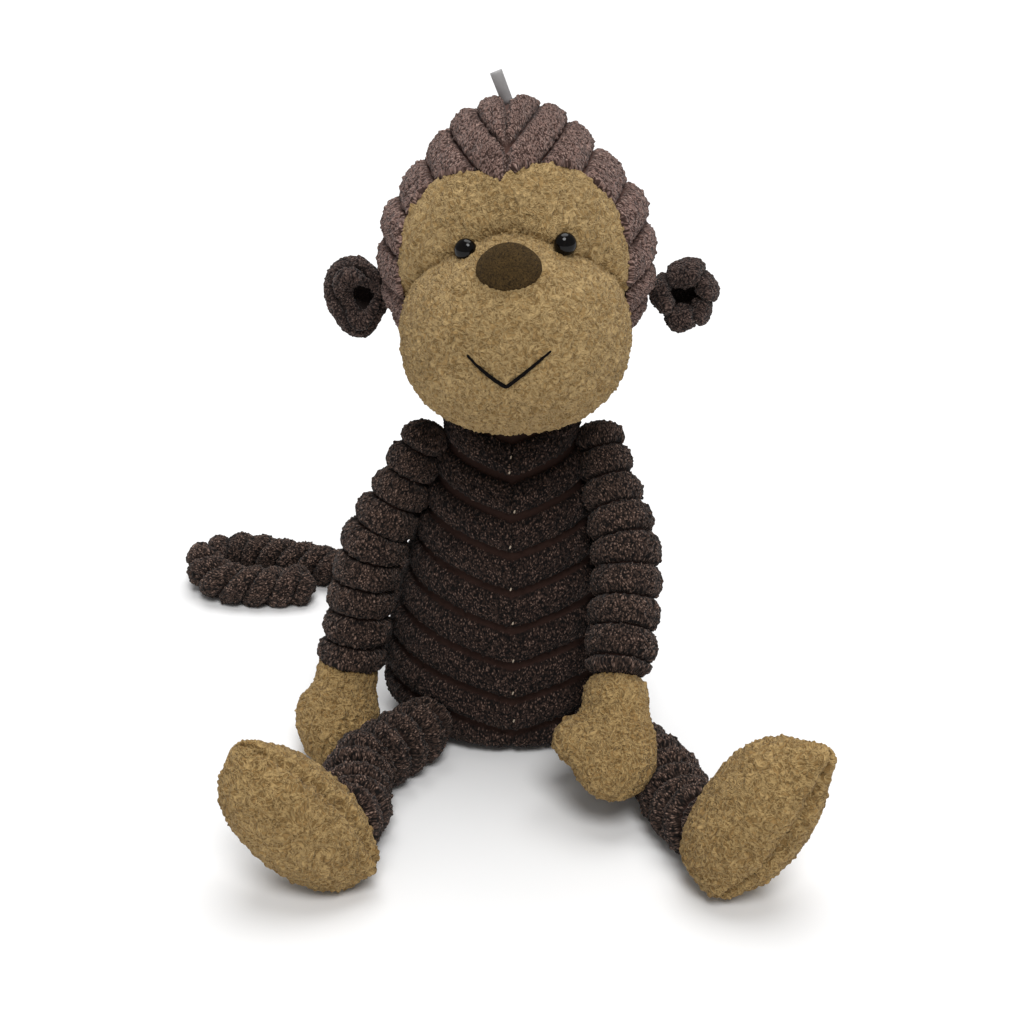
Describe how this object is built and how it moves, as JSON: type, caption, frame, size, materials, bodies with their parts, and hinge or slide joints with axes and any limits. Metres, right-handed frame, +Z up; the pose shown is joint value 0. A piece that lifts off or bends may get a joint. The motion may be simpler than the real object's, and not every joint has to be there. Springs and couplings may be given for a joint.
{
  "type": "plush monkey toy",
  "caption": "Sitting plush monkey with ribbed brown cord body, looped tan face, hands and feet, round ears, hooked tail and a ribbon loop; head, ears, limbs and tail move.",
  "frame": {"origin": "centre of the flat seat under the torso, at the level that it sits on", "axes": "+Z up, -Y to the front of the monkey, +X to the right of someone who faces it"},
  "size_m": [0.2647, 0.2655, 0.2671],
  "materials": {
    "hood_cord": "chunky ribbed cord plush, brown",
    "body_cord": "chunky ribbed cord plush, dark brown",
    "tan_pile": "looped boucle plush, tan",
    "nose_suede": "suede-like cloth, olive brown",
    "eye_gloss": "polished black",
    "white_plastic": "moulded",
    "black_thread": "twisted thread",
    "grey_ribbon": "woven ribbon",
    "fibre_filling": "carded polyester fibre",
    "pellet_pouch": "cotton pouch of plastic pellets"
  },
  "bodies": {
    "torso": {"torso_front_left": "body_cord", "torso_front_right": "body_cord", "torso_back_left": "body_cord", "torso_back_right": "body_cord", "seat_panel": "body_cord", "bean_pouch": "pellet_pouch", "torso_stuffing": "fibre_filling"},
    "neck": {"neck_stuffing": "fibre_filling"},
    "head": {"hood_left": "hood_cord", "hood_right": "hood_cord", "face_panel": "tan_pile", "muzzle_left": "tan_pile", "muzzle_right": "tan_pile", "nose": "nose_suede", "eye_left": "eye_gloss", "eye_right": "eye_gloss", "eye_washer_left": "white_plastic", "eye_washer_right": "white_plastic", "mouth_stitch": "black_thread", "hang_loop": "grey_ribbon", "head_stuffing": "fibre_filling"},
    "ear_left": {"ear_left": "hood_cord"},
    "ear_right": {"ear_right": "hood_cord"},
    "arm_left": {"arm_left": "body_cord", "arm_left_stuffing": "fibre_filling"},
    "hand_left": {"hand_left_palm": "tan_pile", "hand_left_back": "tan_pile", "hand_left_stuffing": "fibre_filling"},
    "leg_left": {"leg_left": "body_cord", "leg_left_stuffing": "fibre_filling"},
    "foot_left": {"foot_left_sole": "tan_pile", "foot_left_top": "tan_pile", "foot_left_stuffing": "fibre_filling"},
    "arm_right": {"arm_right": "body_cord", "arm_right_stuffing": "fibre_filling"},
    "hand_right": {"hand_right_palm": "tan_pile", "hand_right_back": "tan_pile", "hand_right_stuffing": "fibre_filling"},
    "leg_right": {"leg_right": "body_cord", "leg_right_stuffing": "fibre_filling"},
    "foot_right": {"foot_right_sole": "tan_pile", "foot_right_top": "tan_pile", "foot_right_stuffing": "fibre_filling"},
    "tail": {"tail": "body_cord", "tail_stuffing": "fibre_filling"}
  },
  "joints": [
    {"name": "neck_turn", "type": "hinge", "parent": "torso", "child": "neck", "pos_m": [0.0005, 0.011, 0.1475], "axis": [0, 0, 1], "range_deg": [-50, 50], "stiffness_Nm_per_rad": 0.4},
    {"name": "head_nod", "type": "hinge", "parent": "neck", "child": "head", "pos_m": [0.0005, 0.011, 0.1475], "axis": [-1, 0, 0], "range_deg": [-14, 20], "stiffness_Nm_per_rad": 1.2},
    {"name": "ear_fold_left", "type": "hinge", "parent": "head", "child": "ear_left", "pos_m": [-0.05124, 0.01046, 0.17976], "axis": [0.0605, -0.1392, -0.9884], "range_deg": [-30, 35], "stiffness_Nm_per_rad": 0.02},
    {"name": "ear_fold_right", "type": "hinge", "parent": "head", "child": "ear_right", "pos_m": [0.05706, 0.00589, 0.18096], "axis": [-0.0605, 0.1392, 0.9884], "range_deg": [-30, 35], "stiffness_Nm_per_rad": 0.02},
    {"name": "shoulder_left", "type": "hinge", "parent": "torso", "child": "arm_left", "pos_m": [-0.03512, 0.00419, 0.12024], "axis": [-0.8192, 0.5735, 0], "range_deg": [0, 78]},
    {"name": "wrist_left", "type": "hinge", "parent": "arm_left", "child": "hand_left", "pos_m": [-0.06614, -0.01458, 0.03044], "axis": [0.9733, 0.0084, -0.2293], "range_deg": [0, 35]},
    {"name": "shoulder_right", "type": "hinge", "parent": "torso", "child": "arm_right", "pos_m": [0.03512, 0.00419, 0.12024], "axis": [-0.9439, -0.3304, 0], "range_deg": [0, 78]},
    {"name": "wrist_right", "type": "hinge", "parent": "arm_right", "child": "hand_right", "pos_m": [0.04042, -0.05808, 0.04648], "axis": [0.9933, -0.113, -0.0221], "range_deg": [-35, 5]},
    {"name": "hip_left", "type": "hinge", "parent": "torso", "child": "leg_left", "pos_m": [-0.03658, -0.0363, 0.0128], "axis": [0.9434, -0.3317, 0], "range_deg": [-50, 20]},
    {"name": "ankle_left", "type": "hinge", "parent": "leg_left", "child": "foot_left", "pos_m": [-0.05912, -0.1004, 0.0128], "axis": [0.9434, -0.3317, 0], "range_deg": [-20, 20]},
    {"name": "hip_right", "type": "hinge", "parent": "torso", "child": "leg_right", "pos_m": [0.03658, -0.0363, 0.0128], "axis": [0.5942, 0.2906, -0.75], "range_deg": [-50, 15]},
    {"name": "ankle_right", "type": "hinge", "parent": "leg_right", "child": "foot_right", "pos_m": [0.06825, -0.10105, 0.0128], "axis": [0.8983, 0.4394, 0], "range_deg": [-20, 20]},
    {"name": "tail_sweep", "type": "hinge", "parent": "torso", "child": "tail", "pos_m": [-0.006, 0.04374, 0.0083], "axis": [0, 0, 1], "range_deg": [-55, 25]}
  ]
}
